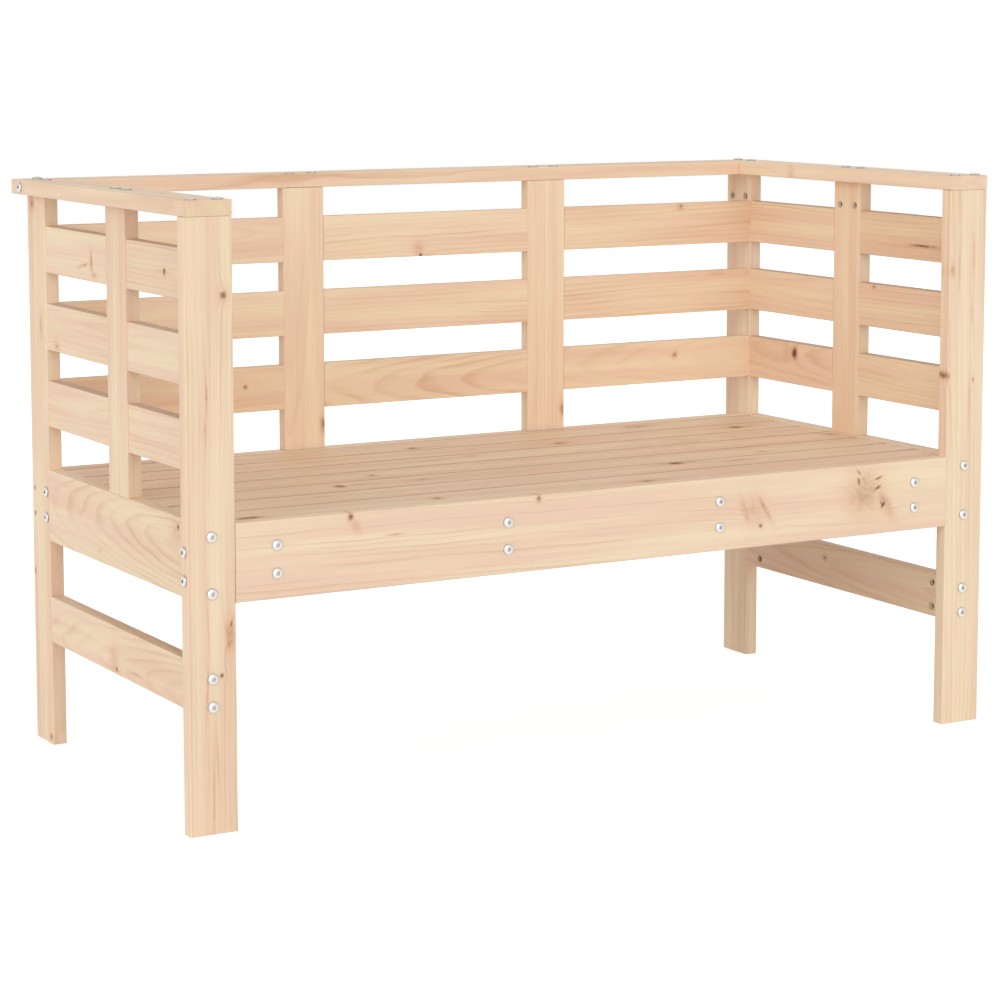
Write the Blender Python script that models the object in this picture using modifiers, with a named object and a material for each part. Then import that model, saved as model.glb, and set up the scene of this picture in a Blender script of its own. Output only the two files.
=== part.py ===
"""Garden bench of planed pine boards with a slatted seat, back and sides, held by bolts.

Metres, +Z up. The bench faces -Y, stands on Z = 0 and is centred on X and Y.
"""

import math

import bmesh
import bpy
from mathutils import Matrix, Vector

# Overall size of the bench.
WIDTH = 1.115
DEPTH = 0.530
HEIGHT = 0.710
SEAT_HEIGHT = 0.350

# Sections of the planed boards.
BOARD_WIDTH = 0.058
BOARD_THICK = 0.018
SLAT_WIDTH = 0.058
SLAT_THICK = 0.016
APRON_HEIGHT = 0.090
EDGE_ROUND = 0.0012
ROUND_STEPS = 2

# Layout of the panels, the seat and the parts under it.
ROW_NAMES = ("top", "middle", "bottom")
BACK_BAY_NAMES = ("left", "centre", "right")
SIDE_BAY_NAMES = ("front", "back")
LOWEST_GAP = 0.054
SEAT_SLAT_COUNT = 7
SEAT_GAP = 0.006
SEAT_DROP = 0.0015
BEARER_COUNT = 4
BEARER_INSET = 0.109
STRETCHER_CLEARANCE = 0.132

# Bolts with domed heads, and the round cross nuts that they screw into.
BOLT_DIAMETER = 0.006
BOLT_TAIL = 0.006
HEAD_DIAMETER = 0.013
HEAD_HEIGHT = 0.0024
HEAD_RIM = 0.0008
SOCKET_FLATS = 0.004
SOCKET_DEPTH = 0.0018
PAIR_SPACING = 0.032
WIDE_PAIR_SPACING = 0.064
NUT_DIAMETER = 0.010
NUT_SETBACK = 0.032
NUT_HOLE_DEPTH = 0.013

# Fits: the gap between pieces that touch, and how far a cutter starts outside the wood.
CONTACT = 0.0003
OVERSHOOT = 0.002
HOLE_SIDES = 16
BOLT_SIDES = 20
HEAD_STEPS = 3

# Faces that several pieces share.
FRONT = -DEPTH / 2
BACK = DEPTH / 2
LEG_TOP = HEIGHT - BOARD_THICK
LEG_INNER = WIDTH / 2 - BOARD_WIDTH
PANEL_OUTER = WIDTH / 2 - (BOARD_WIDTH - BOARD_THICK) / 2
PANEL_INNER = PANEL_OUTER - BOARD_THICK
PANEL_MIDDLE = (PANEL_OUTER + PANEL_INNER) / 2
FRAME_FRONT = FRONT + BOARD_THICK
FRAME_BACK = BACK - BOARD_WIDTH
APRON_BOTTOM = SEAT_HEIGHT - APRON_HEIGHT
APRON_MIDDLE = SEAT_HEIGHT - APRON_HEIGHT / 2
SLAT_UNDERSIDE = SEAT_HEIGHT - SLAT_THICK
BEARER_MIDDLE = SLAT_UNDERSIDE - BOARD_WIDTH / 2
STRETCHER_MIDDLE = STRETCHER_CLEARANCE + BOARD_WIDTH / 2
NUT_LEVEL = LEG_TOP - NUT_SETBACK
BORE_DIAMETER = BOLT_DIAMETER + 2 * CONTACT
SIDES = (("left", -1), ("right", 1))

# Colours of the raw pine and of the zinc-plated steel.
COLOURS = {
    "pine_legs": ("#EBD2B6", 0.62, 0.0),
    "pine_caps": ("#EDD5B9", 0.62, 0.0),
    "pine_aprons": ("#F3DCBE", 0.62, 0.0),
    "pine_stiles": ("#E9CFB2", 0.62, 0.0),
    "pine_slats": ("#E6CAAA", 0.62, 0.0),
    "pine_seat": ("#DFC19F", 0.62, 0.0),
    "pine_bearers": ("#D9BA98", 0.65, 0.0),
    "zinc_steel": ("#D5D6D8", 0.28, 1.0),
}


def linear(hex_colour):
    """Turn a hexadecimal screen colour into the linear values that a shader takes."""
    channels = []
    for start in (1, 3, 5):
        value = int(hex_colour[start:start + 2], 16) / 255
        if value <= 0.04045:
            channels.append(value / 12.92)
        else:
            channels.append(((value + 0.055) / 1.055) ** 2.4)
    return (*channels, 1.0)


def make_material(name):
    """Make the plain material of one group of pieces."""
    hex_colour, roughness, metallic = COLOURS[name]
    material = bpy.data.materials.new(name)
    material.use_nodes = True
    shader = material.node_tree.nodes["Principled BSDF"]
    shader.inputs["Base Color"].default_value = linear(hex_colour)
    shader.inputs["Roughness"].default_value = roughness
    shader.inputs["Metallic"].default_value = metallic
    return material


def between(low, high):
    """Return the span of a piece that fits between two neighbours."""
    return low + CONTACT, high - CONTACT


def mirrored(sign, low, high):
    """Return a span of the right half, or its mirror image on the left half."""
    if sign > 0:
        return low, high
    return -high, -low


def board(name, x_span, y_span, z_span, material_name):
    """Make one board from its three spans: planed round along the grain, sawn off at its ends."""
    spans = (x_span, y_span, z_span)
    size = [high - low for low, high in spans]
    grain = size.index(max(size))
    shape = bmesh.new()
    bmesh.ops.create_cube(shape, size=1.0)
    bmesh.ops.scale(shape, vec=size, verts=shape.verts)
    rounded = shape.edges.layers.float.new("bevel_weight_edge")
    for edge in shape.edges:
        start, end = edge.verts
        if abs(start.co[grain] - end.co[grain]) > size[grain] / 2:
            edge[rounded] = 1.0
    mesh = bpy.data.meshes.new(name)
    shape.to_mesh(mesh)
    shape.free()
    mesh.materials.append(materials[material_name])
    piece = bpy.data.objects.new(name, mesh)
    piece.location = [(low + high) / 2 for low, high in spans]
    piece.parent = bench
    bench_collection.objects.link(piece)
    rounding = piece.modifiers.new("rounded edges", "BEVEL")
    rounding.width = EDGE_ROUND
    rounding.segments = ROUND_STEPS
    rounding.limit_method = "WEIGHT"
    rounding.harden_normals = False
    return piece


def drill(piece, label, holes):
    """Cut round holes, each given by a mouth, a way into the wood, a diameter and a depth."""
    name = f"{piece.name}_{label}"
    shape = bmesh.new()
    for mouth, inward, diameter, depth in holes:
        inward = Vector(inward)
        centre = Vector(mouth) + inward * (depth - OVERSHOOT) / 2
        turn = inward.to_track_quat("Z", "Y").to_matrix().to_4x4()
        bmesh.ops.create_cone(
            shape,
            cap_ends=True,
            segments=HOLE_SIDES,
            radius1=diameter / 2,
            radius2=diameter / 2,
            depth=depth + OVERSHOOT,
            matrix=Matrix.Translation(centre) @ turn,
        )
    mesh = bpy.data.meshes.new(name)
    shape.to_mesh(mesh)
    shape.free()
    cutter = bpy.data.objects.new(name, mesh)
    cutter.hide_render = True
    cutter.display_type = "WIRE"
    cutter_collection.objects.link(cutter)
    cut = piece.modifiers.new(label, "BOOLEAN")
    cut.operation = "DIFFERENCE"
    cut.solver = "EXACT"
    cut.object = cutter


def nut_hole(mouth, inward):
    """Return the blind hole for one cross nut."""
    return mouth, inward, NUT_DIAMETER, NUT_HOLE_DEPTH


def pair(middle, spacing):
    """Return two positions at equal distance from their middle."""
    return middle - spacing / 2, middle + spacing / 2


def bolt_mesh(name, length):
    """Make a bolt along Z: head above the origin, plain shank of a given length below it."""
    points = [(0.0, -length), (BOLT_DIAMETER / 2, -length), (BOLT_DIAMETER / 2, 0.0)]
    points += [(HEAD_DIAMETER / 2, 0.0), (HEAD_DIAMETER / 2, HEAD_RIM)]
    dome = HEAD_HEIGHT - HEAD_RIM
    for step in range(1, HEAD_STEPS + 1):
        angle = math.radians(90) * step / HEAD_STEPS
        points.append((HEAD_DIAMETER / 2 * math.cos(angle), HEAD_RIM + dome * math.sin(angle)))
    shape = bmesh.new()
    line = [shape.verts.new((radius, 0.0, height)) for radius, height in points]
    for start, end in zip(line, line[1:]):
        shape.edges.new((start, end))
    profile = bpy.data.meshes.new(name)
    shape.to_mesh(profile)
    shape.free()
    blank = bpy.data.objects.new(name, profile)
    cutter_collection.objects.link(blank)
    turning = blank.modifiers.new("turned on its axis", "SCREW")
    turning.axis = "Z"
    turning.steps = BOLT_SIDES
    turning.render_steps = BOLT_SIDES
    turning.use_merge_vertices = True
    turning.merge_threshold = 0.00001
    turning.use_normal_calculate = True

    shape = bmesh.new()
    bmesh.ops.create_cone(
        shape,
        cap_ends=True,
        segments=6,
        radius1=SOCKET_FLATS / math.sqrt(3),
        radius2=SOCKET_FLATS / math.sqrt(3),
        depth=2 * SOCKET_DEPTH,
        matrix=Matrix.Translation((0.0, 0.0, HEAD_HEIGHT)),
    )
    hexagon = bpy.data.meshes.new(f"{name}_socket")
    shape.to_mesh(hexagon)
    shape.free()
    cutter = bpy.data.objects.new(f"{name}_socket", hexagon)
    cutter_collection.objects.link(cutter)
    socket = blank.modifiers.new("hexagon socket", "BOOLEAN")
    socket.operation = "DIFFERENCE"
    socket.solver = "EXACT"
    socket.object = cutter

    evaluated = blank.evaluated_get(bpy.context.evaluated_depsgraph_get())
    finished = bpy.data.meshes.new_from_object(evaluated)
    finished.name = name
    finished.materials.clear()
    finished.materials.append(materials["zinc_steel"])
    finished.shade_smooth()
    finished.set_sharp_from_angle(angle=math.radians(35))
    bpy.data.objects.remove(blank)
    bpy.data.objects.remove(cutter)
    return finished


def bolt(name, mesh, seat, outward):
    """Place one bolt with its head on the wood at a point, facing a direction."""
    outward = Vector(outward)
    piece = bpy.data.objects.new(name, mesh)
    piece.location = Vector(seat) + outward * CONTACT
    piece.rotation_mode = "QUATERNION"
    piece.rotation_quaternion = outward.to_track_quat("Z", "Y")
    piece.parent = bench
    bench_collection.objects.link(piece)


for old in list(bpy.data.objects):
    bpy.data.objects.remove(old, do_unlink=True)

bench_collection = bpy.data.collections.new("garden_bench")
cutter_collection = bpy.data.collections.new("cutters")
bpy.context.scene.collection.children.link(bench_collection)
bpy.context.scene.collection.children.link(cutter_collection)
cutter_collection.hide_render = True
materials = {name: make_material(name) for name in COLOURS}
bench = bpy.data.objects.new("bench", None)
bench_collection.objects.link(bench)

# Bay spans of the panels: equal bays between upright boards of the board width.
side_bay = (FRAME_BACK - FRAME_FRONT - BOARD_WIDTH) / len(SIDE_BAY_NAMES)
side_bays = (
    (FRAME_FRONT, FRAME_FRONT + side_bay),
    (FRAME_BACK - side_bay, FRAME_BACK),
)
stile_y = (side_bays[0][1], side_bays[1][0])
stile_y_middle = sum(stile_y) / 2
bay_count = len(BACK_BAY_NAMES)
back_bay = (2 * PANEL_INNER - (bay_count - 1) * BOARD_WIDTH) / bay_count
bay_step = back_bay + BOARD_WIDTH
back_bay_starts = [-PANEL_INNER + number * bay_step for number in range(bay_count)]

# Rows of slats: equal gaps under the caps and between rows, a larger gap over the seat.
row_gap = (LEG_TOP - SEAT_HEIGHT - LOWEST_GAP) / len(ROW_NAMES) - SLAT_WIDTH
row_spans = []
for number in range(len(ROW_NAMES)):
    row_top = LEG_TOP - row_gap - number * (row_gap + SLAT_WIDTH)
    row_spans.append((row_top - SLAT_WIDTH, row_top))

# The two ends of the bench: leg, post, cap, stile, apron, stretcher and slats.
for side, sign in SIDES:
    inner = sign * PANEL_INNER
    middle = sign * PANEL_MIDDLE
    panel_x = mirrored(sign, PANEL_INNER, PANEL_OUTER)
    slat_x = mirrored(sign, PANEL_INNER, PANEL_INNER + SLAT_THICK)
    leg_x = mirrored(sign, LEG_INNER, WIDTH / 2)
    standing = (0.0, LEG_TOP - CONTACT)
    frame_y = between(FRAME_FRONT, FRAME_BACK)

    leg = board(f"front_leg_{side}", leg_x, (FRONT, FRAME_FRONT), standing, "pine_legs")
    nut_xs = pair(middle, PAIR_SPACING)
    drill(leg, "nut_holes", [nut_hole((x, FRAME_FRONT, NUT_LEVEL), (0, -1, 0)) for x in nut_xs])

    post = board(f"back_post_{side}", panel_x, (FRAME_BACK, BACK), standing, "pine_legs")
    nut_ys = pair((FRAME_BACK + BACK) / 2, PAIR_SPACING)
    drill(post, "nut_holes", [nut_hole((inner, y, NUT_LEVEL), (sign, 0, 0)) for y in nut_ys])
    spare = []
    for z in pair(APRON_MIDDLE, PAIR_SPACING):
        mouth = (inner, BACK - BOARD_THICK / 2, z)
        spare.append((mouth, (sign, 0, 0), BORE_DIAMETER, BOARD_THICK + OVERSHOOT))
    drill(post, "spare_holes", spare)

    cap = board(f"arm_cap_{side}", leg_x, (FRONT, BACK), (LEG_TOP, HEIGHT), "pine_caps")
    cap_bolt_seat = (sign * WIDTH / 2, (FRAME_BACK + BACK) / 2, (LEG_TOP + HEIGHT) / 2)
    through = (cap_bolt_seat, (-sign, 0, 0), BORE_DIAMETER, BOARD_WIDTH + OVERSHOOT)
    drill(cap, "bolt_hole", [through])

    stile_z = between(SEAT_HEIGHT, LEG_TOP)
    stile = board(f"side_stile_{side}", panel_x, stile_y, stile_z, "pine_stiles")
    nut_ys = pair(stile_y_middle, PAIR_SPACING)
    drill(stile, "nut_holes", [nut_hole((inner, y, NUT_LEVEL), (sign, 0, 0)) for y in nut_ys])

    end_ys = (FRAME_FRONT + NUT_SETBACK, FRAME_BACK - NUT_SETBACK)
    apron_z = (APRON_BOTTOM, SEAT_HEIGHT)
    apron = board(f"side_apron_{side}", panel_x, frame_y, apron_z, "pine_aprons")
    holes = []
    for y in end_ys:
        for z in pair(APRON_MIDDLE, WIDE_PAIR_SPACING):
            holes.append(nut_hole((inner, y, z), (sign, 0, 0)))
    drill(apron, "nut_holes", holes)

    low_z = (STRETCHER_CLEARANCE, STRETCHER_CLEARANCE + BOARD_WIDTH)
    stretcher = board(f"side_stretcher_{side}", panel_x, frame_y, low_z, "pine_aprons")
    holes = []
    for y in end_ys:
        for z in pair(STRETCHER_MIDDLE, PAIR_SPACING):
            holes.append(nut_hole((inner, y, z), (sign, 0, 0)))
    drill(stretcher, "nut_holes", holes)

    for row, slat_z in zip(ROW_NAMES, row_spans):
        for bay, slat_y in zip(SIDE_BAY_NAMES, side_bays):
            name = f"side_slat_{side}_{row}_{bay}"
            board(name, slat_x, between(*slat_y), slat_z, "pine_slats")

# The back: top rail between the caps, apron, stiles and slats.
rail_x = between(-LEG_INNER, LEG_INNER)
rail = board("back_rail", rail_x, (FRAME_BACK, BACK), (LEG_TOP, HEIGHT), "pine_caps")
rail_middle = ((FRAME_BACK + BACK) / 2, (LEG_TOP + HEIGHT) / 2)
cap_bolt_reach = NUT_SETBACK + BOLT_TAIL
bores = []
nuts = []
for side, sign in SIDES:
    bores.append(((sign * LEG_INNER, *rail_middle), (-sign, 0, 0), BORE_DIAMETER, cap_bolt_reach))
    nuts.append(nut_hole((sign * (LEG_INNER - NUT_SETBACK), rail_middle[0], LEG_TOP), (0, 0, 1)))
drill(rail, "bolt_bores", bores)
drill(rail, "nut_holes", nuts)

back_y = (FRAME_BACK, FRAME_BACK + BOARD_THICK)
apron_x = between(-PANEL_INNER, PANEL_INNER)
apron = board("back_apron", apron_x, back_y, (APRON_BOTTOM, SEAT_HEIGHT), "pine_aprons")
holes = []
for x in (-PANEL_INNER + NUT_SETBACK, PANEL_INNER - NUT_SETBACK):
    for z in pair(APRON_MIDDLE, PAIR_SPACING):
        holes.append(nut_hole((x, FRAME_BACK, z), (0, 1, 0)))
drill(apron, "nut_holes", holes)

for side, start in zip(("left", "right"), back_bay_starts[1:]):
    stile_x = (start - BOARD_WIDTH, start)
    stile_z = between(SEAT_HEIGHT, LEG_TOP)
    stile = board(f"back_stile_{side}", stile_x, back_y, stile_z, "pine_stiles")
    nut_xs = pair(sum(stile_x) / 2, PAIR_SPACING)
    mouth_y = FRAME_BACK + BOARD_THICK
    drill(stile, "nut_holes", [nut_hole((x, mouth_y, NUT_LEVEL), (0, -1, 0)) for x in nut_xs])

slat_y = (FRAME_BACK, FRAME_BACK + SLAT_THICK)
for row, slat_z in zip(ROW_NAMES, row_spans):
    for bay, start in zip(BACK_BAY_NAMES, back_bay_starts):
        slat_x = between(start, start + back_bay)
        board(f"back_slat_{row}_{bay}", slat_x, slat_y, slat_z, "pine_slats")

# The seat: front apron, bearers from front to back, slats on the bearers.
apron_x = between(-LEG_INNER, LEG_INNER)
front_y = (FRONT, FRAME_FRONT)
front_apron = board("front_apron", apron_x, front_y, (APRON_BOTTOM, SEAT_HEIGHT), "pine_aprons")
holes = []
for x in (-LEG_INNER + NUT_SETBACK, LEG_INNER - NUT_SETBACK):
    for z in pair(APRON_MIDDLE, PAIR_SPACING):
        holes.append(nut_hole((x, FRAME_FRONT, z), (0, -1, 0)))
drill(front_apron, "nut_holes", holes)

bearer_bolt = bolt_mesh("bearer_bolt", BOARD_THICK + NUT_SETBACK + BOLT_TAIL)
first_bearer = -WIDTH / 2 + BEARER_INSET
bearer_step = -2 * first_bearer / (BEARER_COUNT - 1)
bearer_y = between(FRAME_FRONT, FRAME_BACK)
bearer_z = (SLAT_UNDERSIDE - BOARD_WIDTH, SLAT_UNDERSIDE - CONTACT)
bolt_zs = pair(BEARER_MIDDLE, PAIR_SPACING)
through_apron = []
for number in range(BEARER_COUNT):
    x = first_bearer + number * bearer_step
    bearer_x = (x - BOARD_THICK / 2, x + BOARD_THICK / 2)
    bearer = board(f"bearer_{number + 1}", bearer_x, bearer_y, bearer_z, "pine_bearers")
    outward = math.copysign(1, x)
    nut_face = x - outward * BOARD_THICK / 2
    bores = []
    nuts = []
    for z in bolt_zs:
        mouth = (x, FRAME_FRONT, z)
        bores.append((mouth, (0, 1, 0), BORE_DIAMETER, NUT_SETBACK + BOLT_TAIL + CONTACT))
        through_apron.append(((x, FRONT, z), (0, 1, 0), BORE_DIAMETER, BOARD_THICK + OVERSHOOT))
        for y in (FRAME_FRONT + NUT_SETBACK, FRAME_BACK - NUT_SETBACK):
            nuts.append(nut_hole((nut_face, y, z), (outward, 0, 0)))
    drill(bearer, "bolt_bores", bores)
    drill(bearer, "nut_holes", nuts)
    for level, z in zip(("lower", "upper"), bolt_zs):
        name = f"bearer_bolt_{number + 1}_{level}"
        bolt(name, bearer_bolt, (x, FRONT, z), (0, -1, 0))
drill(front_apron, "bolt_holes", through_apron)

seat_depth = FRAME_BACK - FRAME_FRONT
seat_slat = (seat_depth - (SEAT_SLAT_COUNT + 1) * SEAT_GAP) / SEAT_SLAT_COUNT
slat_x = between(-PANEL_INNER, PANEL_INNER)
slat_z = (SLAT_UNDERSIDE, SEAT_HEIGHT - SEAT_DROP)
for number in range(SEAT_SLAT_COUNT):
    start = FRAME_FRONT + SEAT_GAP + number * (seat_slat + SEAT_GAP)
    slat_y = (start, start + seat_slat)
    board(f"seat_slat_{number + 1}", slat_x, slat_y, slat_z, "pine_seat")

# The bolts that tie the ends of the back rail to the caps.
cap_bolt = bolt_mesh("cap_bolt", BOARD_WIDTH + cap_bolt_reach - CONTACT)
for side, sign in SIDES:
    bolt(f"cap_bolt_{side}", cap_bolt, (sign * WIDTH / 2, *rail_middle), (sign, 0, 0))
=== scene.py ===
# %% [markdown]
# # A garden bench of planed pine
#
# The bench stands as it comes out of its box: raw pine boards, bolted together, with no
# oil or paint on them. The CAD frame already has every board in its place. This lesson
# gives the boards their grain and knots, adds the bolts and the nuts that they screw
# into, and sets up a plain studio with a camera where the photograph was taken.
#
# Lengths are in metres, as everywhere in Blender. Patterns in the wood are easier to
# think of in millimetres, so a name that ends in _MM holds millimetres.

# %% Load the CAD frame
import math

import bmesh
import bpy
import numpy as np
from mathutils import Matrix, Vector


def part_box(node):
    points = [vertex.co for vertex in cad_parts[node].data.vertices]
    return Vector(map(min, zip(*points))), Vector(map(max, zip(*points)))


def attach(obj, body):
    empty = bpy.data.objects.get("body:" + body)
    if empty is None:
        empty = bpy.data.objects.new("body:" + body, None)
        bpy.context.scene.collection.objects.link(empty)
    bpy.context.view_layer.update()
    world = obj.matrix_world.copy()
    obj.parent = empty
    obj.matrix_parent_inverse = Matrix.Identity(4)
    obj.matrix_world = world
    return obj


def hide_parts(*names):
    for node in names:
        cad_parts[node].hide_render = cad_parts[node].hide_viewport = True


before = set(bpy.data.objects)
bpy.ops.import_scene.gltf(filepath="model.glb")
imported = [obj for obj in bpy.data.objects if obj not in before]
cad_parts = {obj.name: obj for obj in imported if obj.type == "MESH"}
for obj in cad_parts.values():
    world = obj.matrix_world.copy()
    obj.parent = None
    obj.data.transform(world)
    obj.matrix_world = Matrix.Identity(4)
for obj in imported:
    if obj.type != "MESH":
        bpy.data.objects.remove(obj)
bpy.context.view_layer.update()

boards = sorted(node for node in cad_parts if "bolt" not in node)
frame_bolts = sorted(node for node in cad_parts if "bolt" in node)
print(len(boards), "boards and", len(frame_bolts), "bolts in the frame")

# %% [markdown]
# ## Two small helpers
#
# Colours are given as screen values, but shaders count in linear light, so one
# function turns a hexadecimal colour into linear numbers. The other adds a node to a
# tree: what it is given for an input is linked if it is a socket, and written into the
# input if it is a plain value. Both shader trees and geometry trees use it.

# %% Helpers for colours and nodes


def linear(hex_colour, alpha=1.0):
    """Turn an sRGB colour such as #EAD1B5 into linear red, green, blue and alpha."""
    values = []
    for start in (1, 3, 5):
        value = int(hex_colour[start:start + 2], 16) / 255
        # The bare numbers are those of the sRGB standard.
        if value <= 0.04045:
            values.append(value / 12.92)
        else:
            values.append(((value + 0.055) / 1.055) ** 2.4)
    return (*values, alpha)


def add(tree, kind, inputs=None, stops=None, **settings):
    """Add one node to a tree, with its settings, and link or fill its inputs."""
    node = tree.nodes.new(kind)
    for name, value in settings.items():
        setattr(node, name, value)
    for key, value in (inputs or {}).items():
        if isinstance(value, bpy.types.NodeSocket):
            tree.links.new(value, node.inputs[key])
        else:
            node.inputs[key].default_value = value
    if stops:
        elements = node.color_ramp.elements
        while len(elements) < len(stops):
            elements.new(1.0)
        for element, (position, colour) in zip(elements, stops):
            element.position = position
            element.color = colour
    return node


print("raw pine in linear light:", [round(value, 3) for value in linear("#EAD1B5")])

# %% [markdown]
# ## What each board looks like
#
# Every board was sawn from another place in another tree. Three things make it look so:
# where the heart of the tree lay, seen from the board, how strong and dark its rings
# are, and where branches left knots.
#
# Knots could be drawn at random, but the marks on its boards are part of how this bench
# looks. So they are listed one by one, where the real bench shows them, and made up on faces
# that the camera doesn't see. The numbers of a knot are its place along and across from the
# middle of the board, its half length and half width, all in millimetres, and how dark
# it is, from 0 to 1. A sixth number tilts a long knot, in degrees from the board's
# length. A pale wide knot is only a reddish stain, and a long thin one is a streak.

# %% Knots, board by board
KNOTS_PER_BOARD = 18
KNOTS_MM = {
    "front_apron": [
        (370, 8, 33, 32, 0.46), (369, 25, 13, 12, 0.52), (361, 35, 8, 2.4, 0.72, -50),
        (361, 23, 8, 3, 0.9, -75), (376, 30, 7, 2, 0.55, 90), (390, 26, 10, 2.2, 0.66, 18),
        (390, 14, 8, 3, 0.76, 30), (402, -6, 25, 10, 0.5, -58), (399, -8, 7, 2.6, 0.95, 55),
        (396, -6, 5, 2, 0.8, -65), (203, 0, 17, 23, 0.32), (188, 0, 21, 6, 0.42, -70),
        (216, 3, 24, 4.2, 0.5, -59), (210, -19, 4, 3.5, 0.66), (-356, 40, 4, 6, 0.85),
        (-350, 30, 12, 6, 0.36, -55), (-298, 15, 14, 1.6, 0.45), (-108, 41, 4, 5, 0.8),
    ],
    "seat_slat_1": [
        (-218, -6, 10, 10, 0.64), (-468, -20, 20, 9, 0.8), (66, -19, 14, 9, 0.66), (66, -18, 38, 7, 0.5),
    ],
    "seat_slat_2": [
        (174, 20, 13, 10, 1.0), (-330, 8, 14, 5, 0.4), (258, 4, 30, 7, 0.5), (180, 20, 50, 7, 0.55),
    ],
    "seat_slat_3": [
        (-278, 2, 9, 10, 0.95), (330, -14, 7, 7, 0.6), (-252, 3, 26, 5, 0.45), (-165, 0, 20, 6, 0.55),
    ],
    "seat_slat_4": [(-204, -5, 7, 8, 0.7), (500, 9, 16, 14, 0.55)],
    "seat_slat_5": [(-20, 12, 14, 6, 0.5), (-80, 2, 24, 6, 0.42)],
    "seat_slat_6": [(140, -11, 16, 8, 0.75), (430, 2, 12, 10, 0.95), (432, 2, 42, 8, 0.5)],
    "seat_slat_7": [(-52, -18, 11, 8, 0.75), (-40, -18, 30, 6, 0.45), (318, 12, 34, 12, 0.55)],
    "front_leg_left": [
        (259, 17, 5, 5, 1.0), (259, 17, 11, 9, 0.3), (148, -4, 24, 1.5, 0.5), (109, -6, 18, 1.5, 0.45),
        (-121, 22, 20, 7, 0.5), (-108, 23, 8, 2, 0.75, 12), (-132, 20, 9, 2, 0.6, -15),
        (-166, 11, 3, 2.5, 0.9), (-110, -5, 42, 1.4, 0.34, -2), (-187, -7, 40, 1.5, 0.4, 3),
        (-262, 5, 50, 1.5, 0.34, -2), (-300, 0, 60, 1.8, 0.36),
    ],
    "front_leg_right": [
        (109, -29, 6, 4, 0.7), (102, 12, 4, 2, 0.6), (244, -24, 8, 5, 0.5), (247, -13, 34, 1.6, 0.42),
        (262, 10, 34, 3, 0.34), (191, 8, 26, 2.5, 0.3), (78, 6, 40, 2, 0.3),
    ],
    "side_apron_left": [(-174, 33, 4, 4, 0.9), (-170, 28, 17, 17, 0.32), (60, -30, 5, 3, 0.4)],
    "side_stretcher_left": [(14, -22, 4, 4, 0.85), (22, -12, 15, 17, 0.36), (-48, -17, 22, 2.5, 0.5)],
    "side_slat_left_top_back": [
        (-49, -4, 15, 4, 0.66, 84), (-24, -11, 22, 2.4, 0.5, -11), (-58, -21, 9, 4, 0.5),
    ],
    "side_slat_left_top_front": [(-12, -1, 4, 5, 0.95), (-12, -1, 24, 4, 0.3)],
    "side_slat_left_middle_back": [(70, -21, 10, 8, 0.42), (66, -21, 4, 2, 0.7)],
    "side_slat_right_bottom_back": [(-11, 15, 7, 10, 0.95), (7, 14, 9, 11, 0.3)],
    "side_slat_right_top_front": [(-37, -10, 46, 2.4, 0.75)],
    "side_slat_right_middle_front": [(67, 25, 6, 3.5, 0.6)],
    "back_post_left": [
        (182, -11, 17, 5, 0.5), (334, 13, 11, 9, 0.6), (-131, 23, 5, 3, 0.8), (-337, -22, 5, 4, 0.8),
    ],
    "back_post_right": [(-60, 6, 7, 6, 0.6)],
    "back_slat_top_right": [(35, 24, 8, 7, 0.42), (36, 25, 3, 2, 0.8)],
    "back_slat_bottom_right": [(27, 9, 5, 5, 0.7)],
    "back_slat_top_centre": [(-11, -27, 3, 2.5, 0.95), (-14, -20, 9, 12, 0.4), (0, -27, 14, 2, 0.35)],
    "back_slat_middle_right": [(96, 24, 13, 3, 0.42)],
    "back_slat_bottom_left": [(98, 4, 4, 4, 0.7)],
    "back_stile_left": [(-140, 26, 13, 5, 0.75)],
    "back_stile_right": [(-142, 26, 12, 5, 0.7)],
    "arm_cap_right": [(84, -29, 8, 4, 0.3)],
    "arm_cap_left": [(-120, 9, 8, 6, 0.5)],
    "back_rail": [(-310, 10, 8, 7, 0.5), (250, -12, 7, 6, 0.5)],
    "back_apron": [(-210, 18, 11, 10, 0.7), (330, -20, 9, 8, 0.8)],
    "side_stretcher_right": [(40, 10, 6, 5, 0.6)],
    "side_apron_right": [(-60, 14, 11, 12, 0.7)],
}
print(sum(len(knots) for knots in KNOTS_MM.values()), "knots on", len(KNOTS_MM), "boards")

# %% [markdown]
# Boards cut close to the heart show wide arches, and boards cut far to its side show
# straight lines. The table gives this for the boards that are easy to recognise: how far
# the heart lies to the side and below, in millimetres, how steeply the board runs towards
# it, how strong the rings are and how much darker or lighter the board is. A seeded draw
# fills in the others, so that they are the same in each run.
#
# Slats of the seat and the sides also get painted shade on their narrow sides. These
# look into gaps, where little light reaches, and on the real bench they are seen as brown lines.

# %% Heart, rings and tone of each board
GRAIN = {
    "front_leg_left": (130, 10, 0.0, 0.68, 0.0),
    "front_leg_right": (-46, 16, 0.03, 0.6, -0.03),
    "front_apron": (-86, 34, 0.03, 0.6, -0.12),
    "arm_cap_left": (90, 20, 0.04, 0.4, 0.06),
    "arm_cap_right": (-110, 24, 0.05, 0.4, -0.1),
    "side_slat_right_top_front": (-80, 30, 0.04, 0.5, 0.3),
    "side_slat_right_middle_front": (-90, 26, 0.03, 0.55, 0.12),
    "side_slat_right_bottom_back": (14, 28, 0.05, 0.5, -0.06),
    "back_slat_top_right": (70, 20, 0.05, 0.6, 0.08),
    "back_stile_right": (-90, 22, 0.03, 0.45, -0.1),
    "back_slat_bottom_left": (8, 22, 0.06, 0.3, 0.2),
    "back_slat_bottom_centre": (-6, 26, -0.11, 0.95, 0.06),
    "side_apron_left": (12, 30, 0.13, 0.75, 0.0),
    "side_stretcher_left": (-14, 34, 0.1, 0.7, 0.0),
    "back_post_left": (120, -8, 0.01, 0.5, 0.02),
}
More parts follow.
